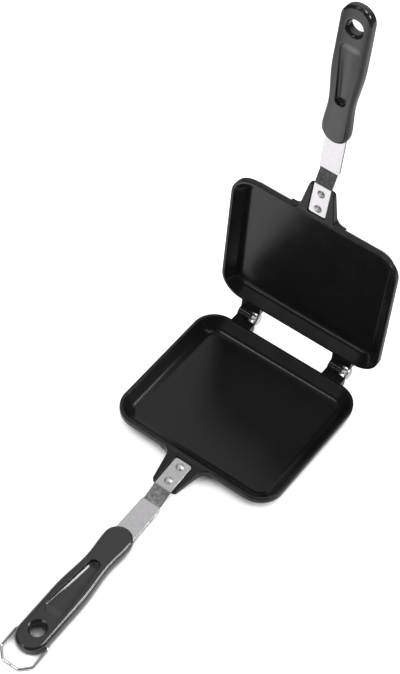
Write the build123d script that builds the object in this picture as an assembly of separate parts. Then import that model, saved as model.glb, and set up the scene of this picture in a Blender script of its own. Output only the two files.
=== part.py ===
from build123d import *
import os
from math import asin, cos, degrees, radians, sin, tan

# A double-sided frying pan: two shallow cast trays, hinged rim to rim, each with a riveted
# strap and a moulded handle, and a wire bail on the lower handle's tip that holds the pair shut.
#
# Everything is modelled first in the lower tray's own frame, in mm: X along the hinge axis,
# Y from the handle towards the hinges, Z up, and the origin at the middle of the rim's plane.
# The upper half is the same design turned over and swung open. At the end the whole pan is
# tilted a little, because it lies on the rear edge of its base and on its handle's tip.

# Cast trays
RIM_WIDTH = 150.0
RIM_LENGTH = 135.2
RIM_CORNER = 20.7
RIM_LAND = 2.66
LIP_HEIGHT = 5.1
WALL_FLARE = 38.6
WALL_THICKNESS = 3.2
FLOOR_THICKNESS = 2.8
CAVITY_DEPTH = 10.0
FLOOR_FILLET = 7.5
BASE_FILLET = 3.0
EDGE_ROUND = 0.8

# Hinges, one at each side of the rear rim
HINGE_FROM_SIDE = 31.0
HINGE_REACH = 12.46
HINGE_LUG_WIDTH = 18.0
HINGE_LUG_DEPTH = 7.6
RIM_GAP = 0.4
KNUCKLE_RADIUS = 5.0
LOWER_KNUCKLE_WIDTH = 7.0
UPPER_KNUCKLE_WIDTH = 8.5
KNUCKLE_SIDE_GAP = 0.3
STOP_GAP = 0.2
PIN_RADIUS = 2.5
PIN_FIT = 0.05
PIN_HEAD_RADIUS = 5.4
PIN_HEAD_THICKNESS = 2.7
PIN_HEAD_ROUND = 2.16
PIN_HEAD_GAP = 0.35
OPEN_ANGLE = 89.3

# Tongue of the tray that carries the strap
TONGUE_LENGTH = 29.9
TONGUE_ROOT_WIDTH = 32.4
TONGUE_TIP_WIDTH = 21.6
TONGUE_ROOT_FILLET = 7.0
TONGUE_ROOT_SPREAD = 8.4
TONGUE_TIP_FILLET = 3.2
TONGUE_BOTTOM = 7.8
TONGUE_UNDER_ROUND = 1.6
TONGUE_SLOPE = 5.7
RIB_RISE = 1.0
CHANNEL_START = 3.0
CHANNEL_CLEARANCE = 0.5

# Bent strap
STRAP_THICKNESS = 1.8
STRAP_WIDTH = 15.0
TANG_WIDTH = 17.5
STRAP_END_RADIUS = 2.0
STRAP_BEND_RADIUS = 3.0
STRAP_DROP_LENGTH = 14.5
STRAP_DROP_SLOPE = 22.5
STRAP_REACH = 30.9
TANG_LENGTH = 63.6

# Rivets through strap and tongue
RIVET_RADIUS = 2.0
RIVET_HEAD_RADIUS = 3.4
RIVET_HEAD_HEIGHT = 1.5
RIVET_TAIL_RADIUS = 3.0
RIVET_TAIL_HEIGHT = 0.9
RIVET_FIT = 0.05
RIVET_DOME_OUT = 2.1
RIVET_DOME_UP = 1.08
RIVET_INSET = 5.6
RIVET_PITCH = 14.6

# Moulded handle
HANDLE_SLOPE = 2.6
HANDLE_LENGTH = 125.0
HANDLE_NOSE_WIDTH = 23.8
HANDLE_WAIST_WIDTH = 20.9
HANDLE_WAIST_AT = 33.0
HANDLE_PALM_AT = 72.0
HANDLE_TIP_WIDTH = 26.4
HANDLE_NOSE_DEPTH = 7.6
HANDLE_BELLY_DEPTH = 9.6
HANDLE_BELLY_AT = 78.0
HANDLE_TIP_DEPTH = 8.4
HANDLE_FACE_FILLET = 2.2
HANDLE_BACK_FILLET = 4.0
FACE_ABOVE_TANG = 4.4
TANG_CLEARANCE = 0.1

# Thumb recess in the handle's flat face
RECESS_START = 35.8
RECESS_LENGTH = 55.8
RECESS_NARROW_RADIUS = 4.6
RECESS_WIDE_RADIUS = 6.0
RECESS_WIDTH = 16.4
RECESS_DEPTH = 2.6
RECESS_END_DEPTH = 0.9
RECESS_FILLET = 0.6

# Hole that the handle hangs by
HANG_HOLE_RADIUS = 6.2
HANG_HOLE_AT = 106.6
HANG_HOLE_ROUND = 2.2

# Screw that holds the handle on its tang
SCREW_AT = 30.0
SCREW_RADIUS = 2.0
SCREW_HEAD_RADIUS = 4.0
SCREW_HEAD_HEIGHT = 1.2
SCREW_SEAT_UNDER_TANG = 1.0
SCREW_PAST_TANG = 1.6
SCREW_FIT = 0.05

# Wire bail
WIRE_RADIUS = 1.1
BAIL_SIDE_GAP = 0.3
BAIL_LENGTH = 25.1
BAIL_BAR_LENGTH = 14.4
BAIL_LEG_LENGTH = 17.8
BAIL_CORNER_RADIUS = 3.0
BAIL_EAR_RADIUS = 1.6
BAIL_PIN_LENGTH = 5.0
BAIL_PIVOT_FROM_TIP = 12.4
BAIL_PIVOT_BELOW_FACE = 5.0
BAIL_FIT = 0.06
BAIL_END_GAP = 0.3

# Places worked out from the sizes above
HINGE_Y = RIM_LENGTH / 2 + HINGE_REACH
HINGE_Z = RIM_GAP / 2
HINGE_X = RIM_WIDTH / 2 - HINGE_FROM_SIDE
TRAY_DEPTH = CAVITY_DEPTH + FLOOR_THICKNESS
KNUCKLE_END = -HINGE_LUG_WIDTH / 2
HINGE_LUG_END = HINGE_Y - KNUCKLE_RADIUS - STOP_GAP
LUG_OVERLAP = 2 * WALL_THICKNESS
TRAY_REAR_Y = RIM_LENGTH / 2 - LUG_OVERLAP
TONGUE_Y = -RIM_LENGTH / 2
STRAP_START_Y = TONGUE_Y - CHANNEL_START
RIB_TOP_Z = -EDGE_ROUND
BAIL_WIDTH = HANDLE_TIP_WIDTH + 2 * (WIRE_RADIUS + BAIL_SIDE_GAP)


def rim_plan(inset):
    """The tray's outline seen from above, drawn in from the rim's edge by inset."""
    return RectangleRounded(RIM_WIDTH - 2 * inset, RIM_LENGTH - 2 * inset, RIM_CORNER - inset)


def flared(inset, top, bottom, base_round):
    """A block between two heights whose sides lean in at the wall's flare, with its lower edge rounded."""
    block = extrude(Pos(0, 0, top) * rim_plan(inset), top - bottom, dir=(0, 0, -1), taper=WALL_FLARE)
    return fillet(block.edges().group_by(Axis.Z)[0], base_round)


def tray_body():
    """The dish without its cavity: a flared body under an upright lip."""
    lip = extrude(rim_plan(0), LIP_HEIGHT, dir=(0, 0, -1))
    lip = fillet(lip.edges().group_by(Axis.Z)[0], EDGE_ROUND)
    body_top = -LIP_HEIGHT + 2 * EDGE_ROUND
    wall_across = WALL_THICKNESS / cos(radians(WALL_FLARE))
    body_inset = RIM_LAND - wall_across - body_top * tan(radians(WALL_FLARE))
    return lip + flared(body_inset, body_top, -TRAY_DEPTH, BASE_FILLET)


def cavity():
    """The hollow that the food lies in, with a large round where the wall meets the floor."""
    return flared(RIM_LAND, 0, -CAVITY_DEPTH, FLOOR_FILLET)


def strap_top_z(y):
    """Height of the strap's upper face where it lies on the tongue."""
    return RIB_TOP_Z - RIB_RISE - (STRAP_START_Y - y) * tan(radians(TONGUE_SLOPE))


def tongue():
    """The tapered tongue in front of the rim, whose two ribs run down beside the strap's channel."""
    tip_y = TONGUE_Y - TONGUE_LENGTH
    root = TONGUE_ROOT_WIDTH / 2
    tip = TONGUE_TIP_WIDTH / 2
    overlap = LUG_OVERLAP
    base = TONGUE_ROOT_WIDTH / 2 + TONGUE_ROOT_SPREAD
    outline = Polyline(
        (-root, TONGUE_Y + overlap),
        (-base, TONGUE_Y),
        (-root, TONGUE_Y),
        (-tip, tip_y),
        (tip, tip_y),
        (root, TONGUE_Y),
        (base, TONGUE_Y),
        (root, TONGUE_Y + overlap),
        close=True,
    )
    plan = make_face(outline)
    ends = plan.vertices().filter_by(lambda v: v.Y < tip_y + 0.1)
    plan = fillet(ends, TONGUE_TIP_FILLET)
    roots = plan.vertices().filter_by(lambda v: abs(v.Y - TONGUE_Y) < 0.01 and abs(v.X) < root + 0.1)
    plan = fillet(roots, TONGUE_ROOT_FILLET)
    block = extrude(plan, TONGUE_BOTTOM, dir=(0, 0, -1))
    # The top falls away towards the tip, in line with the strap.
    fall = tan(radians(TONGUE_SLOPE))
    far_y = tip_y - RIM_CORNER
    near_z = RIB_TOP_Z + (TONGUE_Y + overlap - STRAP_START_Y) * fall
    far_z = RIB_TOP_Z - (STRAP_START_Y - far_y) * fall
    side = Plane.YZ * make_face(
        Polyline(
            (TONGUE_Y + overlap, near_z),
            (far_y, far_z),
            (far_y, -TRAY_DEPTH),
            (TONGUE_Y + overlap, -TRAY_DEPTH),
            close=True,
        )
    )
    block = block & extrude(side, RIM_WIDTH / 2, both=True)
    top = block.faces().filter_by(lambda face: face.normal_at().Z > 0.5).sort_by(SortBy.AREA)[-1]
    outer = [e for e in top.edges() if e.center().Y < TONGUE_Y - 0.5]
    block = fillet(outer, EDGE_ROUND)
    lower = [e for e in block.faces().sort_by(Axis.Z)[0].edges() if e.center().Y < TONGUE_Y - 0.5]
    return fillet(lower, TONGUE_UNDER_ROUND)


def strap_channel():
    """The open-ended channel that the strap lies in, as wide as the strap and its clearance."""
    start = STRAP_START_Y + CHANNEL_CLEARANCE
    end = TONGUE_Y - TONGUE_LENGTH - RIM_CORNER
    depth = STRAP_THICKNESS / cos(radians(TONGUE_SLOPE))
    side = Plane.YZ * make_face(
        Polyline(
            (start, strap_top_z(start) - depth),
            (end, strap_top_z(end) - depth),
            (end, RIM_CORNER),
            (start, RIM_CORNER),
            close=True,
        )
    )
    channel = extrude(side, STRAP_WIDTH / 2 + CHANNEL_CLEARANCE, both=True)
    inner = channel.edges().filter_by(Axis.Z).group_by(Axis.Y)[-1]
    return fillet(inner, STRAP_END_RADIUS)


def knuckle_range(index, upper):
    """Where a knuckle of hinge 0 (at -X) or 1 (at +X) starts and ends along the pan's X."""
    centre = (2 * index - 1) * HINGE_X
    start = centre + KNUCKLE_END
    if upper:
        start += LOWER_KNUCKLE_WIDTH + KNUCKLE_SIDE_GAP
        return start, start + UPPER_KNUCKLE_WIDTH
    return start, start + LOWER_KNUCKLE_WIDTH


def head_range(index):
    """Where the pin's head of hinge 0 or 1 starts and ends along the pan's X."""
    start = knuckle_range(index, True)[1] + PIN_HEAD_GAP
    return start, start + PIN_HEAD_THICKNESS


def along_hinge(radius, start, end):
    """A round bar on the hinge axis between two places along X."""
    return Pos(start, HINGE_Y, HINGE_Z) * Rot(0, 90, 0) * Cylinder(
        radius, end - start, align=(Align.CENTER, Align.CENTER, Align.MIN)
    )


def knuckle(start, end):
    """A hinge knuckle: a barrel with a web to the lug and a square rear corner that stops the other lug."""
    width = end - start
    barrel = along_hinge(KNUCKLE_RADIUS, start, end)
    web = Pos(start, HINGE_LUG_END - STOP_GAP, 0) * Box(
        width,
        HINGE_Y - HINGE_LUG_END + STOP_GAP,
        KNUCKLE_RADIUS - HINGE_Z,
        align=(Align.MIN, Align.MIN, Align.MAX),
    )
    heel = Pos(start, HINGE_Y, HINGE_Z) * Box(
        width, KNUCKLE_RADIUS, KNUCKLE_RADIUS, align=(Align.MIN, Align.MIN, Align.MIN)
    )
    return barrel + web + heel


def hinge_lug(centre):
    """The block behind the rim that carries a knuckle."""
    block = Pos(centre, TRAY_REAR_Y, 0) * Box(
        HINGE_LUG_WIDTH,
        HINGE_LUG_END - TRAY_REAR_Y,
        HINGE_LUG_DEPTH,
        align=(Align.CENTER, Align.MIN, Align.MAX),
    )
    rear = block.edges().filter_by(Axis.X).group_by(Axis.Y)[-1].sort_by(Axis.Z)[0]
    return fillet(rear, 3 * EDGE_ROUND)


def dish():
    """The tray without its lugs, hollowed out, with both edges of the rim rounded."""
    solid = tray_body() - cavity()
    return fillet(solid.edges().filter_by_position(Axis.Z, -0.01, 0.01), EDGE_ROUND)


def lugs(knuckles):
    """Tongue, hinge lugs and knuckles, cut back from the cavity and from the inner half of the rim's face."""
    solid = tongue()
    for side in (-1, 1):
        solid += hinge_lug(side * HINGE_X)
    for start, end in knuckles:
        solid += knuckle(start, end)
    solid -= cavity()
    return solid - extrude(rim_plan(RIM_LAND / 2), 2 * EDGE_ROUND, dir=(0, 0, -1))


def tray(knuckles, heads):
    """One cast tray, with its knuckles and the room for the pins' heads at the given ranges of X."""
    solid = dish() + lugs(knuckles) - strap_channel()
    for start, end in heads:
        solid -= along_hinge(PIN_HEAD_RADIUS + PIN_HEAD_GAP, start - PIN_HEAD_GAP, end + HINGE_LUG_WIDTH / 4)
    for start, end in knuckles:
        solid -= along_hinge(PIN_RADIUS + PIN_FIT, start - 1, end + 1)
    for y in rivet_places():
        solid -= rivet_hole(y)
    return solid


def rivet_places():
    """Y of the inner and of the outer rivet."""
    inner = STRAP_START_Y - RIVET_INSET
    return inner, inner - RIVET_PITCH


def tilted_plane(y, z, slope):
    """A plane on X = 0 whose local Y rises towards the tray at a slope, with local Z square to it."""
    lean = radians(slope)
    return Plane(origin=(0, y, z), x_dir=(1, 0, 0), z_dir=(0, -sin(lean), cos(lean)))


def rivet_frame(y):
    """A plane on the strap's upper face at a rivet, square to the strap."""
    return tilted_plane(y, strap_top_z(y), TONGUE_SLOPE)


def rivet_grip(y):
    """Length of a rivet's shank, from the strap's upper face to the tongue's underside."""
    return (strap_top_z(y) + TONGUE_BOTTOM) / cos(radians(TONGUE_SLOPE))


def rivet_hole(y):
    """A round hole for a rivet, right through strap and tongue."""
    long = rivet_grip(y) + 2 * RIVET_HEAD_HEIGHT
    hole = Cylinder(RIVET_RADIUS + RIVET_FIT, 2 * long)
    return rivet_frame(y) * hole


def rivet(y):
    """A rivet with a domed head on the strap, a plain shank and a flat formed tail under the tongue."""
    grip = rivet_grip(y) + RIVET_HEAD_RADIUS * tan(radians(TONGUE_SLOPE))
    profile = make_face(
        [
            Line((0, -grip - RIVET_TAIL_HEIGHT), (0, RIVET_HEAD_HEIGHT)),
            ThreePointArc(
                (0, RIVET_HEAD_HEIGHT),
                (RIVET_DOME_OUT, RIVET_DOME_UP),
                (RIVET_HEAD_RADIUS, 0),
            ),
            Polyline(
                (RIVET_HEAD_RADIUS, 0),
                (RIVET_RADIUS, 0),
                (RIVET_RADIUS, -grip),
                (RIVET_TAIL_RADIUS, -grip),
                (RIVET_TAIL_RADIUS, -grip - RIVET_TAIL_HEIGHT),
                (0, -grip - RIVET_TAIL_HEIGHT),
            ),
        ]
    )
    return rivet_frame(y) * revolve(Plane.XZ * profile, Axis.Z)


def strap_corners():
    """The strap's upper face in side view: inner end, two bends, the handle's nose and the tang's end."""
    y = TONGUE_Y - TONGUE_LENGTH - EDGE_ROUND
    corners = [(STRAP_START_Y, strap_top_z(STRAP_START_Y)), (y, strap_top_z(y))]
    for length, slope in (
        (STRAP_DROP_LENGTH, STRAP_DROP_SLOPE),
        (STRAP_REACH, HANDLE_SLOPE),
        (TANG_LENGTH, HANDLE_SLOPE),
    ):
        y, z = corners[-1]
        corners.append((y - length * cos(radians(slope)), z - length * sin(radians(slope))))
    return corners


def handle_plane():
    """The handle's own plane: its origin on the flat face at the nose, local Y back towards the tray."""
    y, z = strap_corners()[3]
    lean = radians(HANDLE_SLOPE)
    return tilted_plane(y - FACE_ABOVE_TANG * sin(lean), z + FACE_ABOVE_TANG * cos(lean), HANDLE_SLOPE)


def strap():
    """The bent strap with its tang, cut from its side view and its plan."""
    start, bend, drop, nose, end = strap_corners()
    slopes = (TONGUE_SLOPE, STRAP_DROP_SLOPE, HANDLE_SLOPE)

    def lower(point, first, second):
        """The lower face's corner under an upper one, on the line that halves the bend."""
        half = radians((second - first) / 2)
        mean = radians((second + first) / 2)
        depth = STRAP_THICKNESS / cos(half)
        return point[0] + depth * sin(mean), point[1] - depth * cos(mean)

    under = [
        lower(start, slopes[0], slopes[0]),
        lower(bend, slopes[0], slopes[1]),
        lower(drop, slopes[1], slopes[2]),
        lower(end, slopes[2], slopes[2]),
    ]
    side = make_face(Polyline(start, bend, drop, end, *reversed(under), close=True))

    def corner(point):
        """The vertex of the side view at a point."""
        return side.vertices().sort_by_distance((point[0], point[1], 0))[0]

    outside = STRAP_BEND_RADIUS + STRAP_THICKNESS
    side = fillet(corner(bend), outside)
    side = fillet(corner(under[1]), STRAP_BEND_RADIUS)
    side = fillet(corner(drop), STRAP_BEND_RADIUS)
    side = fillet(corner(under[2]), outside)
    narrow = STRAP_WIDTH / 2
    wide = TANG_WIDTH / 2
    widen = 2 * (wide - narrow)
    plan = make_face(
        Polyline(
            (-narrow, start[0]),
            (-narrow, drop[0] + widen / 2),
            (-wide, drop[0] - widen / 2),
            (-wide, end[0]),
            (wide, end[0]),
            (wide, drop[0] - widen / 2),
            (narrow, drop[0] + widen / 2),
            (narrow, start[0]),
            close=True,
        )
    )
    plan = fillet(plan.vertices().group_by(Axis.Y)[-1], STRAP_END_RADIUS)
    plan = fillet(plan.vertices().group_by(Axis.Y)[0], STRAP_END_RADIUS)
    solid = extrude(Plane.YZ * side, TANG_WIDTH, both=True)
    solid = solid & extrude(plan, TRAY_DEPTH + STRAP_REACH, both=True)
    for y in rivet_places():
        solid -= rivet_hole(y)
    return solid - handle_plane() * screw_hole()


def handle_outline():
    """The handle seen square to its face: a round nose, a waist, and a palm that runs on to a round tip."""
    nose = HANDLE_NOSE_WIDTH / 2
    waist = HANDLE_WAIST_WIDTH / 2
    tip = HANDLE_TIP_WIDTH / 2
    tip_centre = tip - HANDLE_LENGTH
    flank = Spline(
        (nose, -nose),
        (waist, -HANDLE_WAIST_AT),
        (tip, -HANDLE_PALM_AT),
        tangents=((0, -1), (0, -1)),
    )
    palm = Line((tip, -HANDLE_PALM_AT), (tip, tip_centre))
    front = ThreePointArc((nose, -nose), (0, 0), (-nose, -nose))
    end = ThreePointArc((tip, tip_centre), (0, -HANDLE_LENGTH), (-tip, tip_centre))
    side = [flank, palm]
    return make_face([front, end, *side, *[mirror(edge, about=Plane.YZ) for edge in side]])


def handle_blank():
    """The handle before its recess, holes and pocket: plan and side view crossed, with rounded edges."""
    deepest = HANDLE_BELLY_DEPTH + HANDLE_BACK_FILLET
    block = extrude(handle_outline(), deepest, dir=(0, 0, -1))
    beyond = HANDLE_LENGTH + HANDLE_FACE_FILLET
    before = HANDLE_FACE_FILLET
    back = ThreePointArc(
        (before, -HANDLE_NOSE_DEPTH), (-HANDLE_BELLY_AT, -HANDLE_BELLY_DEPTH), (-beyond, -HANDLE_TIP_DEPTH)
    )
    frame = Polyline((-beyond, -HANDLE_TIP_DEPTH), (-beyond, 0), (before, 0), (before, -HANDLE_NOSE_DEPTH))
    side = Plane.YZ * make_face([back, frame])
    block = block & extrude(side, HANDLE_TIP_WIDTH, both=True)
    block = fillet(block.faces().sort_by(Axis.Z)[0].edges(), HANDLE_BACK_FILLET)
    return fillet(block.faces().sort_by(Axis.Z)[-1].edges(), HANDLE_FACE_FILLET)


def thumb_recess():
    """The teardrop recess in the face: narrow and deep at the waist, wide and shallow towards the tip."""
    narrow_y = -RECESS_START - RECESS_NARROW_RADIUS
    wide_y = -RECESS_START - RECESS_LENGTH + RECESS_WIDE_RADIUS
    wide_x = RECESS_WIDTH / 2 - RECESS_WIDE_RADIUS
    rounds = [Pos(0, narrow_y) * Circle(RECESS_NARROW_RADIUS)]
    for side in (-1, 1):
        rounds.append(Pos(side * wide_x, wide_y) * Circle(RECESS_WIDE_RADIUS))
    outline = make_hull([edge for ring in rounds for edge in ring.edges()])
    end_y = -RECESS_START - RECESS_LENGTH
    side = Plane.YZ * make_face(
        Polyline(
            (-RECESS_START, 0),
            (-RECESS_START, -RECESS_DEPTH),
            (end_y, -RECESS_END_DEPTH),
            (end_y, 0),
            close=True,
        )
    )
    tool = extrude(outline, RECESS_DEPTH, dir=(0, 0, -1)) & extrude(side, RECESS_WIDTH, both=True)
    tool = fillet(tool.faces().sort_by(Axis.Z)[0].edges(), RECESS_FILLET)
    return tool + extrude(outline, RECESS_DEPTH)


def hang_hole_depth():
    """How thick the handle is at the hanging hole."""
    share = (HANG_HOLE_AT - HANDLE_BELLY_AT) / (HANDLE_LENGTH - HANDLE_BELLY_AT)
    return HANDLE_BELLY_DEPTH - (HANDLE_BELLY_DEPTH - HANDLE_TIP_DEPTH) * share**2


def hang_hole():
    """The hole near the tip, straight through, with the same wide round at its two mouths."""
    depth = hang_hole_depth()
    mouth = HANG_HOLE_RADIUS + HANG_HOLE_ROUND
    turn = HANG_HOLE_ROUND * (1 - cos(radians(45)))
    profile = make_face(
        [
            Polyline((0, HANG_HOLE_ROUND), (mouth, HANG_HOLE_ROUND), (mouth, 0)),
            ThreePointArc(
                (mouth, 0),
                (HANG_HOLE_RADIUS + turn, -turn),
                (HANG_HOLE_RADIUS, -HANG_HOLE_ROUND),
            ),
            Line((HANG_HOLE_RADIUS, -HANG_HOLE_ROUND), (HANG_HOLE_RADIUS, HANG_HOLE_ROUND - depth)),
            ThreePointArc(
                (HANG_HOLE_RADIUS, HANG_HOLE_ROUND - depth),
                (HANG_HOLE_RADIUS + turn, turn - depth),
                (mouth, -depth),
            ),
            Polyline(
                (mouth, -depth),
                (mouth, -depth - HANG_HOLE_ROUND),
                (0, -depth - HANG_HOLE_ROUND),
                (0, HANG_HOLE_ROUND),
            ),
        ]
    )
    return Pos(0, -HANG_HOLE_AT, 0) * revolve(Plane.XZ * profile, Axis.Z)


def tang_pocket():
    """The slot that the tang lies in, open at the nose."""
    length = TANG_LENGTH + TANG_CLEARANCE
    height = STRAP_THICKNESS + 2 * TANG_CLEARANCE
    width = TANG_WIDTH + 2 * TANG_CLEARANCE
    # The slot runs on past the nose, to come out through its round end.
    return Pos(0, HANDLE_FACE_FILLET, TANG_CLEARANCE - FACE_ABOVE_TANG) * Box(
        width, length + HANDLE_FACE_FILLET, height, align=(Align.CENTER, Align.MAX, Align.MAX)
    )


def screw_seat_z():
    """Height of the screw head's seat, sunk in the handle's back."""
    return -FACE_ABOVE_TANG - STRAP_THICKNESS - SCREW_SEAT_UNDER_TANG


def screw_hole():
    """The screw's hole, from its sunk seat up through the tang, with the wider hole for the head below it."""
    top = SCREW_PAST_TANG + SCREW_FIT - FACE_ABOVE_TANG
    seat = screw_seat_z()
    shaft = Pos(0, -SCREW_AT, seat) * Cylinder(
        SCREW_RADIUS + SCREW_FIT, top - seat, align=(Align.CENTER, Align.CENTER, Align.MIN)
    )
    sink = Pos(0, -SCREW_AT, seat) * Cylinder(
        SCREW_HEAD_RADIUS + 4 * SCREW_FIT,
        HANDLE_BELLY_DEPTH,
        align=(Align.CENTER, Align.CENTER, Align.MAX),
    )
    return shaft + sink


def screw():
    """The handle's screw, in the handle's own frame: a plain shank and a domed head with a cross in it."""
    seat = screw_seat_z()
    top = SCREW_PAST_TANG - FACE_ABOVE_TANG
    shaft = Pos(0, -SCREW_AT, seat) * Cylinder(
        SCREW_RADIUS, top - seat, align=(Align.CENTER, Align.CENTER, Align.MIN)
    )
    head = Pos(0, -SCREW_AT, seat) * Cylinder(
        SCREW_HEAD_RADIUS, SCREW_HEAD_HEIGHT, align=(Align.CENTER, Align.CENTER, Align.MAX)
    )
    head = fillet(head.edges().group_by(Axis.Z)[0], SCREW_HEAD_HEIGHT / 2)
    slot = Pos(0, -SCREW_AT, seat - SCREW_HEAD_HEIGHT) * Box(
        SCREW_HEAD_RADIUS,
        SCREW_HEAD_RADIUS / 4,
        SCREW_HEAD_HEIGHT / 2,
        align=(Align.CENTER, Align.CENTER, Align.CENTER),
    )
    cross = slot + Pos(0, -SCREW_AT, 0) * Rot(0, 0, 90) * Pos(0, SCREW_AT, 0) * slot
    return shaft + head - cross


def bail_pivot():
    """The bail's pivot in the handle's own frame."""
    return 0, BAIL_PIVOT_FROM_TIP - HANDLE_LENGTH, -BAIL_PIVOT_BELOW_FACE


def bail_holes():
    """The two blind holes in the handle's sides that take the bail's ends."""
    reach = HANDLE_TIP_WIDTH / 2
    blind = BAIL_WIDTH / 2 - BAIL_EAR_RADIUS - BAIL_PIN_LENGTH - BAIL_END_GAP
    tool = None
    for side in (-1, 1):
        hole = Pos(side * blind, 0, 0) * Rot(0, 90 * side, 0) * Cylinder(
            WIRE_RADIUS + BAIL_FIT, reach, align=(Align.CENTER, Align.CENTER, Align.MIN)
        )
        tool = hole if tool is None else tool + hole
    return Pos(*bail_pivot()) * tool


def handle(with_bail):
    """A moulded handle in its own frame, with or without the bail's holes."""
    solid = handle_blank() - thumb_recess() - hang_hole() - tang_pocket() - screw_hole()
    return solid - bail_holes() if with_bail else solid


def hinge_pin(index):
    """A hinge pin: a plain shank in both knuckles and a domed head at its +X end."""
    start = knuckle_range(index, False)[0]
    head_start, head_end = head_range(index)
    shank = along_hinge(PIN_RADIUS, start, head_start)
    shank = chamfer(shank.edges().group_by(Axis.X)[0], PIN_RADIUS / 5)
    head = along_hinge(PIN_HEAD_RADIUS, head_start, head_end)
    return shank + fillet(head.edges().group_by(Axis.X)[-1], PIN_HEAD_ROUND)


def bail():
    """The wire bail in its own frame: pivots on local X, bar towards local Y, its corners rounded."""
    half = BAIL_WIDTH / 2
    inner = half - BAIL_EAR_RADIUS - BAIL_PIN_LENGTH
    bar = BAIL_BAR_LENGTH / 2
    points = [
        (inner, 0),
        (half, 0),
        (half, BAIL_LEG_LENGTH),
        (bar, BAIL_LENGTH),
        (-bar, BAIL_LENGTH),
        (-half, BAIL_LEG_LENGTH),
        (-half, 0),
        (-inner, 0),
    ]
    radii = [BAIL_EAR_RADIUS] + 4 * [BAIL_CORNER_RADIUS] + [BAIL_EAR_RADIUS]
    path = FilletPolyline(*points, radius=radii)
    section = Plane(origin=path @ 0, z_dir=path % 0) * Circle(WIRE_RADIUS)
    return sweep(section, path)


def lowest(solid, tilt):
    """Height of a solid's lowest point once the pan is tilted."""
    return (Rot(-tilt, 0, 0) * solid).bounding_box().min.Z


def rest_tilt(lower_tray, lower_handle):
    """The tilt in degrees at which the tray's base and the handle's back both touch the table."""
    reach = degrees(1 / (HINGE_Y + HANDLE_LENGTH + STRAP_REACH))
    tilt = 0.0
    for _ in range(8):
        tilt += (lowest(lower_tray, tilt) - lowest(lower_handle, tilt)) * reach
    return tilt


def lower_half():
    """The lower half's pieces, all in the lower tray's frame."""
    heads = [head_range(index) for index in (0, 1)]
    knuckles = [knuckle_range(index, False) for index in (0, 1)]
    inner, outer = rivet_places()
    return {
        "lower_pan": tray(knuckles, heads),
        "lower_strap": strap(),
        "lower_rivet_inner": rivet(inner),
        "lower_rivet_outer": rivet(outer),
        "lower_handle": handle_plane() * handle(True),
        "lower_handle_screw": handle_plane() * screw(),
        "hinge_pin_left": hinge_pin(0),
        "hinge_pin_right": hinge_pin(1),
    }


def upper_half():
    """The upper half's pieces as if it lay below, its knuckles and pin heads seen from its own side."""
    knuckles = []
    heads = []
    for index in (0, 1):
        start, end = knuckle_range(index, True)
        knuckles.append((-end, -start))
        start, end = head_range(index)
        heads.append((-end, -start))
    inner, outer = rivet_places()
    return {
        "upper_pan": tray(knuckles, heads),
        "upper_strap": strap(),
        "upper_rivet_inner": rivet(inner),
        "upper_rivet_outer": rivet(outer),
        "upper_handle": handle_plane() * handle(False),
        "upper_handle_screw": handle_plane() * screw(),
    }


def main():
    """Builds the pan as it lies open on a table and writes one file for each piece."""
    pieces = lower_half()
    turned_over = Pos(0, 0, 2 * HINGE_Z) * Rot(0, 180, 0)
    swung_open = Pos(0, HINGE_Y, HINGE_Z) * Rot(-OPEN_ANGLE, 0, 0) * Pos(0, -HINGE_Y, -HINGE_Z)
    for name, solid in upper_half().items():
        pieces[name] = swung_open * turned_over * solid

    tilt = rest_tilt(pieces["lower_pan"], pieces["lower_handle"])
    lift = -min(lowest(pieces["lower_pan"], tilt), lowest(pieces["lower_handle"], tilt))

    # The bail lies with its bar on the table.
    pivot = handle_plane().from_local_coords(Vector(*bail_pivot()))
    height = (Rot(-tilt, 0, 0) * Pos(*pivot)).position.Z + lift
    fall = asin((height - WIRE_RADIUS) / BAIL_LENGTH) + radians(tilt)
    pieces["locking_bail"] = Plane(origin=pivot, x_dir=(1, 0, 0), z_dir=(0, sin(fall), -cos(fall))) * bail()

    laid = {name: Pos(0, 0, lift) * Rot(-tilt, 0, 0) * solid for name, solid in pieces.items()}
    boxes = [solid.bounding_box() for solid in laid.values()]
    middle = (min(box.min.Y for box in boxes) + max(box.max.Y for box in boxes)) / 2
    placed = Pos(0, -middle, lift) * Rot(-tilt, 0, 0)
    os.makedirs("parts", exist_ok=True)
    for name, solid in laid.items():
        export_step(Pos(0, -middle, 0) * solid, f"parts/{name}.step")

    hole = handle_plane().from_local_coords(Vector(0, -HANG_HOLE_AT, -hang_hole_depth()))
    print(f"rest tilt {tilt:.4f} degrees, bail falls {degrees(fall) - tilt:.3f} degrees below level")
    for name, point in (
        ("rim plane's middle", (0, 0, 0)),
        ("hinge axis", (0, HINGE_Y, HINGE_Z)),
        ("bail pivot", tuple(pivot)),
        ("base of the lower tray", (0, 0, -TRAY_DEPTH)),
        ("hanging hole of the lower handle", tuple(hole)),
    ):
        print(name, [round(value, 4) for value in (placed * Pos(*point)).position])


main()
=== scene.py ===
"""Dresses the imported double-sided frying pan: its finishes, and the studio that it stands in."""

from math import cos, radians, sin

import bpy
from bpy.props import FloatProperty, FloatVectorProperty, PointerProperty, StringProperty
from bpy.types import Operator, Panel, PropertyGroup
from mathutils import Matrix, Vector

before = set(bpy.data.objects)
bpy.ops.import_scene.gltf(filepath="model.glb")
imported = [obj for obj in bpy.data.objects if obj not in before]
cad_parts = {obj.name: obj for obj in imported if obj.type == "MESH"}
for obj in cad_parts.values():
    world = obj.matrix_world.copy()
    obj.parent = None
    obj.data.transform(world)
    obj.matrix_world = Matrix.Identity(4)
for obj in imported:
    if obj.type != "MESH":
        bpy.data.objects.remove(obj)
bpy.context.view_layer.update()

bl_info = {
    "name": "Double-sided frying pan",
    "version": (1, 0, 0),
    "blender": (4, 5, 0),
    "location": "View3D > Sidebar > Pan",
    "description": "Finishes for a hinged double frying pan and the studio it is seen in",
    "category": "Object",
}

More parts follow.
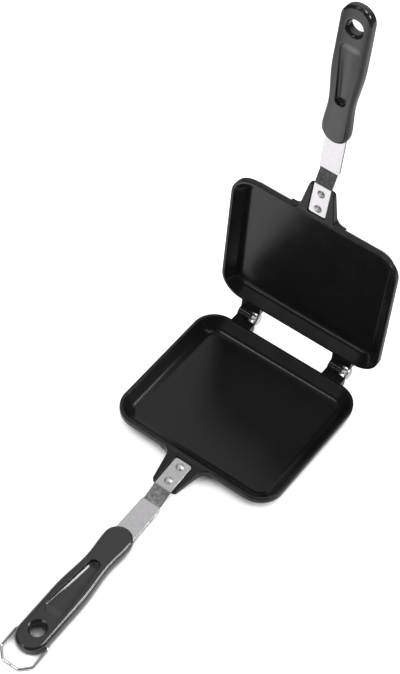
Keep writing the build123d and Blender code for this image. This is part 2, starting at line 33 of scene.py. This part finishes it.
MM = 0.001
WHITE = (1, 1, 1, 1)

# Each handle's own frame: where its face meets the strap, in metres, and its turn in degrees.
# In it, X runs across the handle, Y back towards the tray and Z out of the flat face.
HANDLE_FRAMES = {
    "lower": ((0, -0.05551, 0.01112), (1.042, 0, 0)),
    "upper": ((0, 0.17809, 0.23507), (-86.542, 0, 180)),
}

# The handle in its frame, in mm. Its recess is narrow at the near end, towards the strap, and wide at
# the far one, and its hollow comes and goes over a slope at each end.
HANDLE_HALF_WIDTH = 13.0
RECESS_ENDS = (-35.8, -91.6)
RECESS_HALF_WIDTHS = (4.6, 8.2)
RECESS_END_SLOPE = 7.0
RIPPLE_HEIGHT = 0.03

# Noise seldom leaves this range, so roughness runs its whole course over it
NOISE_RANGE = (0.3, 0.7)
# How far scuffs take a bright metal's roughness below and above its own
SCUFF_SPREAD = (0.8, 1.2)
# How many rays feel for the faces beside an edge, to round it
EDGE_SAMPLES = 6
# How far sideways a strap's surface leans where it begins to look sheared, and where it wholly does
SHEARED_LEAN = (0.5, 0.8)

# Places on the stage, in metres
PAN_MIDDLE = (0, 0.087, 0.02)
LID_FOOT = (0, 0.165, 0.04)
HANDLE_MIDDLE = (0, -0.12, 0.01)
FLOOR_BACK = 0.15

# Painted shadow: the table's colour and glow are darkened close under the pan. These are how far it
# looks for cover and with how many rays, the open shares at which the painted shadow is darkest and is
# gone, and how much of its colour the darkest keeps.
PAINTED_SHADOW_REACH = 12 * MM
PAINTED_SHADOW_SAMPLES = 8
PAINTED_SHADOW_SHARES = (0.38, 0.56)
PAINTED_SHADOW_TONE = 0.12

# Mirrors see the table bright in a painted pool of light that runs along Y at the pan's left. These
# are its middle, and how far from there it begins and ends to fade, in metres.
PAINTED_POOL_MIDDLE = -0.13
PAINTED_POOL_FADE = (0.03, 0.25)

# Mirrors see a white backdrop. These are the way to its middle, and the cosines from there at which it
# ends and is full.
BACKDROP = (-0.2, 0.75, 0.63)
BACKDROP_FADE = (0.45, 0.96)

# Width of the camera's film in mm, and how far it sees in metres, well past the table's far edge
SENSOR_WIDTH = 36.0
SIGHT = 20.0

# Each lamp: what it faces, the way from there to it, how far off it is, and its two sides in metres.
# What each is there for:
# - key: the sheen on the trays' floors, the lid's lower wall and the lower strap's sloping part
# - side: the lines of light on the lower handle's right edge and at the foot of the tray's left wall
# - streak: the lines of light in the lower handle's recess and along its right edge
# - low: the tray's rear wall, the line at the lid's foot and the upper strap's sloping part
LAMPS = {
    "key": (PAN_MIDDLE, (-0.32, -0.4, 0.86), 2.5, (0.8, 0.16)),
    "side": (HANDLE_MIDDLE, (0.72, 0.48, 0.48), 1.3, (0.4, 0.28)),
    "streak": (HANDLE_MIDDLE, (0.34, 0.39, 0.86), 1.3, (0.34, 0.3)),
    "low": (LID_FOOT, (-0.24, -0.94, 0.21), 1.6, (0.8, 0.05)),
}


class FinishSettings(PropertyGroup):
    """Colours and textures of the pan's finishes."""

    coat_colour: StringProperty(
        name="Coat",
        description="Non-stick coat, sRGB hex",
        default="#101011",
    )
    coat_grain: FloatProperty(
        name="Coat grain",
        description="Width of the sprayed coat's bumps",
        default=0.9 * MM,
        unit="LENGTH",
    )
    handle_colour: StringProperty(
        name="Handle",
        description="Moulded resin, sRGB hex",
        default="#1a1a1b",
    )
    handle_ripple: FloatProperty(
        name="Handle ripple",
        description="Width of the mould's faint waves",
        default=7 * MM,
        unit="LENGTH",
    )
    handle_roll: FloatProperty(
        name="Handle roll",
        description="How far the handle's face falls at its edges",
        default=1.9 * MM,
        min=0,
        unit="LENGTH",
    )
    recess_hollow: FloatProperty(
        name="Recess hollow",
        description="How far the recess's floor is hollowed",
        default=1.5 * MM,
        min=0,
        unit="LENGTH",
    )
    strip_colour: StringProperty(
        name="Strip steel",
        description="Rolled strip, sRGB hex",
        default="#cfcdcf",
    )
    strip_edge_colour: StringProperty(
        name="Strip edge",
        description="Sheared edge, sRGB hex",
        default="#77777a",
    )
    strip_mottle: FloatProperty(
        name="Strip mottle",
        description="Width of the strip's dull patches",
        default=2.5 * MM,
        unit="LENGTH",
    )
    rivet_colour: StringProperty(
        name="Rivet steel",
        description="Rivets and hinge pins, sRGB hex",
        default="#dcdbdd",
    )
    wire_colour: StringProperty(
        name="Wire",
        description="Drawn bright wire, sRGB hex",
        default="#e4e4e5",
    )
    screw_colour: StringProperty(
        name="Screw",
        description="Zinc plate, sRGB hex",
        default="#c3c6cb",
    )


class StageSettings(PropertyGroup):
    """The studio's camera, table, room and lamps."""

    camera_azimuth: FloatProperty(
        name="Azimuth",
        description="Camera's turn round the pan",
        default=radians(31.616),
        subtype="ANGLE",
    )
    camera_elevation: FloatProperty(
        name="Elevation",
        description="Camera's height above the table",
        default=radians(51.97),
        subtype="ANGLE",
    )
    camera_roll: FloatProperty(
        name="Roll",
        description="Camera's lean",
        default=radians(5.337),
        subtype="ANGLE",
    )
    camera_distance: FloatProperty(
        name="Distance",
        description="From the camera to the plane that it looks at",
        default=1497.5 * MM,
        unit="LENGTH",
    )
    camera_lens: FloatProperty(
        name="Lens",
        description="Focal length in millimetres",
        default=175.94,
        min=1,
        unit="CAMERA",
    )
    camera_aim: FloatVectorProperty(
        name="Aim",
        description="How far right of and above the pan's origin the camera looks",
        default=(22.65 * MM, 114.82 * MM),
        size=2,
        unit="LENGTH",
    )
    floor_colour: StringProperty(
        name="Floor",
        description="Table top, sRGB hex",
        default="#f2f2f2",
    )
    floor_size: FloatProperty(
        name="Floor size",
        description="Side of the table top",
        default=1.2,
        unit="LENGTH",
    )
    floor_glow: FloatProperty(
        name="Floor glow",
        description="How much brighter than it is lit the table shows",
        default=0.52,
        min=0,
    )
    # Painted pool of light on the table, seen only in mirrors: how bright it is in its middle and
    # beside it
    painted_pool_light: FloatProperty(
        name="Pool light",
        description="How much of the table's brightness mirrors see in its pool",
        default=0.93,
        min=0,
    )
    painted_pool_edge: FloatProperty(
        name="Pool edge",
        description="How much of the table's brightness mirrors see beside its pool",
        default=0.3,
        min=0,
    )
    room_light: FloatProperty(
        name="Room light",
        description="Even light from all round",
        default=0.8,
        min=0,
    )
    room_dim: FloatProperty(
        name="Dim room",
        description="How bright mirrors see the room off its backdrop",
        default=0.07,
        min=0,
    )
    backdrop_light: FloatProperty(
        name="Backdrop",
        description="How bright mirrors see the backdrop",
        default=0.9,
        min=0,
    )
    key_power: FloatProperty(
        name="Key power",
        description="Lamp high over the front left",
        default=7.7,
        min=0,
        unit="POWER",
    )
    side_power: FloatProperty(
        name="Side power",
        description="Lamp at the rear right",
        default=6,
        min=0,
        unit="POWER",
    )
    streak_power: FloatProperty(
        name="Streak power",
        description="Lamp high over the rear right",
        default=4.5,
        min=0,
        unit="POWER",
    )
    low_power: FloatProperty(
        name="Low power",
        description="Lamp low in front",
        default=2.4,
        min=0,
        unit="POWER",
    )


def linear(colour):
    """A hex sRGB colour as linear red, green and blue by the sRGB curve, and full alpha."""
    channels = [int(colour[i : i + 2], 16) / 255 for i in (1, 3, 5)]
    return [c / 12.92 if c <= 0.04045 else ((c + 0.055) / 1.055) ** 2.4 for c in channels] + [1.0]


def shade(colour, amount):
    """A linear colour made lighter or darker by a factor."""
    return [min(1.0, c * amount) for c in colour[:3]] + [1.0]


def node(tree, kind, settings=None, **links):
    """Adds a shader node. Settings are attributes, or sockets by name or number. Links are the
    sockets to be fed, by name with underscores for spaces, or by number after an underscore.

    A Mix node's sockets need numbers: 0 is its factor, 2 and 3 are its numbers with output 0, and
    6 and 7 are its colours with output 2."""
    added = tree.nodes.new(kind)
    for key, value in (settings or {}).items():
        if isinstance(key, int) or key in added.inputs.keys():
            added.inputs[key].default_value = value
        else:
            setattr(added, key, value)
    for key, source in links.items():
        socket = int(key[1:]) if key[1:].isdigit() else key.replace("_", " ")
        tree.links.new(source, added.inputs[socket])
    return added


def finish(name, **sockets):
    """A new material with only its Principled shader, whose sockets are set by name."""
    material = bpy.data.materials.new(name)
    material.use_nodes = True
    shader = material.node_tree.nodes["Principled BSDF"]
    for key, value in sockets.items():
        shader.inputs[key.replace("_", " ")].default_value = value
    return material, material.node_tree, shader


def pattern(tree, width, stretch=(1, 1, 1), **settings):
    """Noise on Object coordinates. Its features are about width metres across, and longer along
    each axis by that axis's stretch."""
    place = node(tree, "ShaderNodeTexCoord").outputs["Object"]
    scale = [1 / (width * s) for s in stretch]
    local = node(tree, "ShaderNodeMapping", {"Scale": scale}, Vector=place).outputs["Vector"]
    noise = node(tree, "ShaderNodeTexNoise", {"Scale": 1.0, **settings}, Vector=local)
    return noise.outputs["Fac"]


def mottle(tree, shader, patches, colour, tones, roughness):
    """Lets a pattern run a shader from its colour's first tone to its second, and from its first
    roughness to its second. Returns the colour so run."""
    first, second = (shade(colour, tone) for tone in tones)
    blend = node(tree, "ShaderNodeMix", {"data_type": "RGBA", 6: first, 7: second}, _0=patches)
    least, most = NOISE_RANGE
    smooth, dull = roughness
    spread = {"From Min": least, "From Max": most, "To Min": smooth, "To Max": dull}
    rough = node(tree, "ShaderNodeMapRange", spread, Value=patches).outputs[0]
    tree.links.new(blend.outputs[2], shader.inputs["Base Color"])
    tree.links.new(rough, shader.inputs["Roughness"])
    return blend.outputs[2]


def relief(tree, shader, height, depth, edge):
    """Raises a shader's surface by a height, whose unit is depth metres, and rounds its corners
    off over edge metres."""
    bump = node(tree, "ShaderNodeBump", {"Strength": 1.0, "Distance": depth}, Height=height)
    rounding = {"samples": EDGE_SAMPLES, "Radius": edge}
    soft = node(tree, "ShaderNodeBevel", rounding, Normal=bump.outputs["Normal"])
    tree.links.new(soft.outputs["Normal"], shader.inputs["Normal"])


def non_stick_coat(settings):
    """PTFE, sprayed and baked on cast aluminium: near black and satin, with faint cloudy patches
    and a fine orange peel. The peel is drawn about twice as coarse as the real one, to show."""
    material, tree, shader = finish("non_stick_coat", IOR=1.37)
    clouds = pattern(tree, width=22 * MM, Detail=2.0)
    colour = linear(settings.coat_colour)
    mottle(tree, shader, clouds, colour, tones=(0.85, 1.15), roughness=(0.22, 0.27))
    peel = pattern(tree, width=settings.coat_grain, Detail=3.0, Roughness=0.6)
    relief(tree, shader, peel, depth=0.012 * MM, edge=0.5 * MM)
    return material


def moulded_form(tree, side, settings):
    """The fine form of a moulded face, as a height in mm: a roll and a trough, added up.

    The roll is minus the cube of the way out to the handle's edge, times how far the face falls
    there, so that the face is flat in its middle. The trough is the square of the way out to the
    recess's side, at most one, less one, times how deep the recess is hollowed. It comes smoothly
    at one end of the recess and goes at the other."""
    origin, turn = HANDLE_FRAMES[side]
    placing = {
        "vector_type": "TEXTURE",
        "Location": origin,
        "Rotation": [radians(angle) for angle in turn],
        "Scale": (MM, MM, MM),
    }
    place = node(tree, "ShaderNodeTexCoord").outputs["Object"]
    local = node(tree, "ShaderNodeMapping", placing, Vector=place).outputs["Vector"]
    axes = node(tree, "ShaderNodeSeparateXYZ", _0=local).outputs
    out = node(tree, "ShaderNodeMath", {"operation": "ABSOLUTE"}, _0=axes["X"]).outputs[0]

    # The roll at the face's edges
    to_edge = {"operation": "DIVIDE", 1: HANDLE_HALF_WIDTH}
    way = node(tree, "ShaderNodeMath", to_edge, _0=out).outputs[0]
    cube = node(tree, "ShaderNodeMath", {"operation": "POWER", 1: 3.0}, _0=way).outputs[0]
    falling = {"operation": "MULTIPLY", 1: -settings.handle_roll / MM}
    roll = node(tree, "ShaderNodeMath", falling, _0=cube).outputs[0]

    # The trough across the recess, as if it were one deep
    near, far = RECESS_ENDS
    narrow, wide = RECESS_HALF_WIDTHS
    widening = {"From Min": near, "From Max": far, "To Min": narrow, "To Max": wide}
    half = node(tree, "ShaderNodeMapRange", widening, Value=axes["Y"]).outputs[0]
    to_side = {"operation": "DIVIDE", "use_clamp": True}
    share = node(tree, "ShaderNodeMath", to_side, _0=out, _1=half).outputs[0]
    squaring = {"operation": "MULTIPLY_ADD", 2: -1.0}
    trough = node(tree, "ShaderNodeMath", squaring, _0=share, _1=share).outputs[0]

    # How deep it is along the recess
    opening = {
        "interpolation_type": "SMOOTHSTEP",
        "From Min": near,
        "From Max": near - RECESS_END_SLOPE,
    }
    closing = {
        "interpolation_type": "SMOOTHSTEP",
        "From Min": far,
        "From Max": far + RECESS_END_SLOPE,
        "To Max": settings.recess_hollow / MM,
    }
    opened = node(tree, "ShaderNodeMapRange", opening, Value=axes["Y"]).outputs[0]
    closed = node(tree, "ShaderNodeMapRange", closing, Value=axes["Y"]).outputs[0]
    depth = node(tree, "ShaderNodeMath", {"operation": "MULTIPLY"}, _0=opened, _1=closed).outputs[0]

    adding = {"operation": "MULTIPLY_ADD"}
    return node(tree, "ShaderNodeMath", adding, _0=trough, _1=depth, _2=roll).outputs[0]


def moulded_resin(side, settings):
    """Phenolic resin, pressed in a hot mould: black and glossy, with the faint waves that a mould
    polished by hand leaves."""
    material, tree, shader = finish(f"moulded_resin_{side}", IOR=1.6)
    clouds = pattern(tree, width=12 * MM, Detail=3.0)
    colour = linear(settings.handle_colour)
    mottle(tree, shader, clouds, colour, tones=(0.85, 1.15), roughness=(0.08, 0.14))
    ripple = pattern(tree, width=settings.handle_ripple, Detail=1.0)
    form = moulded_form(tree, side, settings)
    adding = {"operation": "MULTIPLY_ADD", 1: RIPPLE_HEIGHT}
    height = node(tree, "ShaderNodeMath", adding, _0=ripple, _2=form).outputs[0]
    relief(tree, shader, height, depth=MM, edge=1 * MM)
    return material


def rolled_strip(settings):
    """Cold-rolled steel strip, cut and bent on a press: satin, with duller patches, and sheared
    edges that look dark beside the bright faces. Its rolling lines run along the strap, and are
    drawn several times as coarse as the real ones, to show.

    A sheared edge is told by how far the surface leans along X. The lid swings about X, so that
    stays the same at every pose."""
    material, tree, shader = finish("rolled_strip", Metallic=1.0)
    patches = pattern(tree, width=settings.strip_mottle, Detail=6.0, Roughness=0.65)
    colour = linear(settings.strip_colour)
    faces = mottle(tree, shader, patches, colour, tones=(0.76, 1.08), roughness=(0.1, 0.17))
    normal = node(tree, "ShaderNodeNewGeometry").outputs["Normal"]
    sideways = node(tree, "ShaderNodeSeparateXYZ", _0=normal).outputs["X"]
    lean = node(tree, "ShaderNodeMath", {"operation": "ABSOLUTE"}, _0=sideways).outputs[0]
    begins, wholly = SHEARED_LEAN
    telling = {"From Min": begins, "From Max": wholly}
    edge = node(tree, "ShaderNodeMapRange", telling, Value=lean).outputs[0]
    sheared = {"data_type": "RGBA", 7: linear(settings.strip_edge_colour)}
    both_tones = node(tree, "ShaderNodeMix", sheared, _0=edge, _6=faces)
    tree.links.new(both_tones.outputs[2], shader.inputs["Base Color"])
    lines = pattern(tree, width=0.3 * MM, stretch=(1, 60, 60), Detail=2.0)
    relief(tree, shader, lines, depth=0.003 * MM, edge=0.4 * MM)
    return material


def bright_metal(name, colour, roughness):
    """Bright metal with small scuffs, a little lighter and duller than the rest. They are drawn over
    a millimetre wide, to show."""
    material, tree, shader = finish(name, Metallic=1.0)
    scuffs = pattern(tree, width=1.2 * MM, Detail=5.0, Roughness=0.7)
    spread = [roughness * part for part in SCUFF_SPREAD]
    mottle(tree, shader, scuffs, linear(colour), tones=(0.8, 1.0), roughness=spread)
    relief(tree, shader, scuffs, depth=0.002 * MM, edge=0.3 * MM)
    return material


def dress(material, *names):
    """Gives CAD nodes a material in place of their own."""
    for name in names:
        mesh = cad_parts[name].data
        mesh.materials.clear()
        mesh.materials.append(material)


def both(name):
    """The lower and the upper node of a pair."""
    return f"lower_{name}", f"upper_{name}"


class PAN_OT_trays(Operator):
    """Coats both trays"""

    bl_idname = "pan.trays"
    bl_label = "Trays"

    def execute(self, context):
        dress(non_stick_coat(context.scene.pan_finish), *both("pan"))
        return {"FINISHED"}


class PAN_OT_straps(Operator):
    """Finishes both straps"""

    bl_idname = "pan.straps"
    bl_label = "Straps"

    def execute(self, context):
        dress(rolled_strip(context.scene.pan_finish), *both("strap"))
        return {"FINISHED"}


class PAN_OT_handles(Operator):
    """Finishes both handles"""

    bl_idname = "pan.handles"
    bl_label = "Handles"

    def execute(self, context):
        for side in HANDLE_FRAMES:
            dress(moulded_resin(side, context.scene.pan_finish), f"{side}_handle")
        return {"FINISHED"}


class PAN_OT_fasteners(Operator):
    """Finishes rivets, hinge pins and screws"""

    bl_idname = "pan.fasteners"
    bl_label = "Fasteners"

    def execute(self, context):
        settings = context.scene.pan_finish
        # Steel headed cold and hammered home: domes with a wide, blurred highlight
        rivet = bright_metal("headed_steel", settings.rivet_colour, roughness=0.5)
        dress(rivet, *both("rivet_inner"), *both("rivet_outer"))
        # The same steel with turned heads: a tighter highlight
        pin = bright_metal("turned_steel", settings.rivet_colour, roughness=0.36)
        dress(pin, "hinge_pin_left", "hinge_pin_right")
        # Zinc plated on steel in a barrel: an even, slightly blue gloss
        zinc = bright_metal("zinc_plate", settings.screw_colour, roughness=0.3)
        dress(zinc, *both("handle_screw"))
        return {"FINISHED"}


class PAN_OT_bail(Operator):
    """Finishes the wire bail"""

    bl_idname = "pan.bail"
    bl_label = "Bail"

    def execute(self, context):
        # Steel drawn through a die: smooth, with a sharp line of light along the wire
        wire = bright_metal("drawn_wire", context.scene.pan_finish.wire_colour, roughness=0.15)
        dress(wire, "locking_bail")
        return {"FINISHED"}


def add_camera(stage):
    """A camera at the photograph's angle, placed by its turn, height, lean, distance and aim."""
    turn, rise, lean = stage.camera_azimuth, stage.camera_elevation, stage.camera_roll
    back = Vector((sin(turn) * cos(rise), -cos(turn) * cos(rise), sin(rise)))
    level = Vector((cos(turn), sin(turn), 0))
    upward = back.cross(level)
    right = cos(lean) * level + sin(lean) * upward
    above = cos(lean) * upward - sin(lean) * level
    aim_right, aim_above = stage.camera_aim
    place = back * stage.camera_distance + right * aim_right + above * aim_above
    data = bpy.data.cameras.new("camera")
    data.sensor_fit = "HORIZONTAL"
    data.sensor_width = SENSOR_WIDTH
    data.lens = stage.camera_lens
    data.clip_end = SIGHT
    camera = bpy.data.objects.new("camera", data)
    rotation = Matrix((right, above, back)).transposed().to_4x4()
    camera.matrix_world = Matrix.Translation(place) @ rotation
    bpy.context.scene.collection.objects.link(camera)
    bpy.context.scene.camera = camera


def shown_rays(tree):
    """1 for rays that show the background to the camera, straight, in a mirror or through glass."""
    path = node(tree, "ShaderNodeLightPath").outputs
    either = {"operation": "MAXIMUM"}
    camera, glossy = path["Is Camera Ray"], path["Is Glossy Ray"]
    seen = node(tree, "ShaderNodeMath", either, _0=camera, _1=glossy).outputs[0]
    through = path["Is Transmission Ray"]
    return node(tree, "ShaderNodeMath", either, _0=seen, _1=through).outputs[0]


def painted_table(stage):
    """Pale paint rolled on board: matt, with no grain to see. It shows a little brighter than it is
    lit, but a painted shadow darkens its colour and glow close under the pan, and a painted pool of
    light lets mirrors see it bright only in its pool."""
    material, tree, shader = finish("painted_table", Roughness=0.7, Emission_Color=WHITE)

    # How clear of the pan the table is, from 0 to 1, which sets the painted shadow under it
    covering = {"samples": PAINTED_SHADOW_SAMPLES, "Distance": PAINTED_SHADOW_REACH}
    openness = node(tree, "ShaderNodeAmbientOcclusion", covering).outputs["AO"]
    darkest, clear = PAINTED_SHADOW_SHARES
    clearing = {"From Min": darkest, "From Max": clear}
    clear_of_painted_shadow = node(tree, "ShaderNodeMapRange", clearing, Value=openness).outputs[0]

    # The painted pool of light: how much of the table glossy rays see, by how far it is from the
    # pool's middle
    place = node(tree, "ShaderNodeTexCoord").outputs["Object"]
    across = node(tree, "ShaderNodeSeparateXYZ", _0=place).outputs["X"]
    from_pool = {"operation": "SUBTRACT", 1: PAINTED_POOL_MIDDLE}
    aside = node(tree, "ShaderNodeMath", from_pool, _0=across).outputs[0]
    off = node(tree, "ShaderNodeMath", {"operation": "ABSOLUTE"}, _0=aside).outputs[0]
    begins, ends = PAINTED_POOL_FADE
    bright, dim = stage.painted_pool_light, stage.painted_pool_edge
    fading = {"From Min": begins, "From Max": ends, "To Min": bright, "To Max": dim}
    pool = node(tree, "ShaderNodeMapRange", fading, Value=off).outputs[0]
    glossy = node(tree, "ShaderNodeLightPath").outputs["Is Glossy Ray"]
    full = {"data_type": "FLOAT", 2: 1.0}
    mirrored = node(tree, "ShaderNodeMix", full, _0=glossy, _3=pool).outputs[0]

    # Painted light: the painted shadow under the pan, times the painted pool that mirrors see, runs
    # both the table's colour and its glow
    times = {"operation": "MULTIPLY"}
    light = node(tree, "ShaderNodeMath", times, _0=clear_of_painted_shadow, _1=mirrored).outputs[0]
    pale = linear(stage.floor_colour)
    # The painted shadow's dark tone, and the pale paint where the table is clear
    tones = {"data_type": "RGBA", 6: shade(pale, PAINTED_SHADOW_TONE), 7: pale}
    colour = node(tree, "ShaderNodeMix", tones, _0=light).outputs[2]
    tree.links.new(colour, shader.inputs["Base Color"])
    seen = node(tree, "ShaderNodeMath", times, _0=shown_rays(tree), _1=light).outputs[0]
    glowing = {"operation": "MULTIPLY", 1: stage.floor_glow}
    glow = node(tree, "ShaderNodeMath", glowing, _0=seen).outputs[0]
    tree.links.new(glow, shader.inputs["Emission Strength"])
    return material


def add_floor(stage):
    """A square table top under the pan, set back a little."""
    half = stage.floor_size / 2
    corners = [(-half, -half), (half, -half), (half, half), (-half, half)]
    mesh = bpy.data.meshes.new("floor")
    mesh.from_pydata([(x, y + FLOOR_BACK, 0) for x, y in corners], [], [(0, 1, 2, 3)])
    mesh.materials.append(painted_table(stage))
    floor = bpy.data.objects.new("floor", mesh)
    bpy.context.scene.collection.objects.link(floor)


def add_room(stage):
    """Even light from all round. The camera sees the room white, and mirrors see it white at its
    backdrop and dim elsewhere."""
    world = bpy.data.worlds.new("room")
    world.use_nodes = True
    tree = world.node_tree
    background = tree.nodes["Background"]
    background.inputs["Color"].default_value = WHITE
    # In a world, Generated is the way that a ray goes
    way = node(tree, "ShaderNodeTexCoord").outputs["Generated"]
    facing = {"operation": "DOT_PRODUCT", 1: Vector(BACKDROP).normalized()}
    cosine = node(tree, "ShaderNodeVectorMath", facing, _0=way).outputs["Value"]
    ends, full = BACKDROP_FADE
    dim, bright = stage.room_dim, stage.backdrop_light
    fading = {"From Min": ends, "From Max": full, "To Min": dim, "To Max": bright}
    mirrored = node(tree, "ShaderNodeMapRange", fading, Value=cosine).outputs[0]
    straight = node(tree, "ShaderNodeLightPath").outputs["Is Camera Ray"]
    either = {"operation": "MAXIMUM"}
    seen = node(tree, "ShaderNodeMath", either, _0=mirrored, _1=straight).outputs[0]
    lit = {"data_type": "FLOAT", 2: stage.room_light}
    strength = node(tree, "ShaderNodeMix", lit, _0=shown_rays(tree), _3=seen).outputs[0]
    tree.links.new(strength, background.inputs["Strength"])
    bpy.context.scene.world = world


def add_lamp(name, target, towards, distance, sides, power):
    """A rectangular soft box, placed from its target by a direction and a distance, and facing it."""
    data = bpy.data.lights.new(name, "AREA")
    data.shape = "RECTANGLE"
    data.size, data.size_y = sides
    data.energy = power
    lamp = bpy.data.objects.new(name, data)
    back = Vector(towards).normalized()
    lamp.location = Vector(target) + back * distance
    lamp.rotation_euler = back.to_track_quat("Z", "Y").to_euler()
    lamp.visible_camera = False
    bpy.context.scene.collection.objects.link(lamp)


class PAN_OT_stage(Operator):
    """Adds the camera, the table, the room and the lamps"""

    bl_idname = "pan.stage"
    bl_label = "Stage"

    def execute(self, context):
        stage = context.scene.pan_stage
        add_camera(stage)
        add_floor(stage)
        add_room(stage)
        for name, place in LAMPS.items():
            add_lamp(name, *place, getattr(stage, f"{name}_power"))
        context.scene.view_settings.view_transform = "Standard"
        return {"FINISHED"}


class PAN_PT_panel(Panel):
    """Lists the pan's operators and settings"""

    bl_label = "Frying pan"
    bl_idname = "PAN_PT_panel"
    bl_space_type = "VIEW_3D"
    bl_region_type = "UI"
    bl_category = "Pan"

    def draw(self, context):
        for operator in OPERATORS:
            self.layout.operator(operator.bl_idname)
        for group in (context.scene.pan_finish, context.scene.pan_stage):
            for name in group.__annotations__:
                self.layout.prop(group, name)


OPERATORS = (
    PAN_OT_trays,
    PAN_OT_straps,
    PAN_OT_handles,
    PAN_OT_fasteners,
    PAN_OT_bail,
    PAN_OT_stage,
)
CLASSES = (FinishSettings, StageSettings, *OPERATORS, PAN_PT_panel)


def register():
    """Registers the classes and puts the settings on the scene."""
    for cls in CLASSES:
        bpy.utils.register_class(cls)
    bpy.types.Scene.pan_finish = PointerProperty(type=FinishSettings)
    bpy.types.Scene.pan_stage = PointerProperty(type=StageSettings)


def unregister():
    """Takes the settings and the classes away again."""
    del bpy.types.Scene.pan_stage
    del bpy.types.Scene.pan_finish
    for cls in reversed(CLASSES):
        bpy.utils.unregister_class(cls)


def main():
    register()
    bpy.ops.pan.trays()
    bpy.ops.pan.straps()
    bpy.ops.pan.handles()
    bpy.ops.pan.fasteners()
    bpy.ops.pan.bail()
    bpy.ops.pan.stage()


if __name__ == "__main__":
    main()
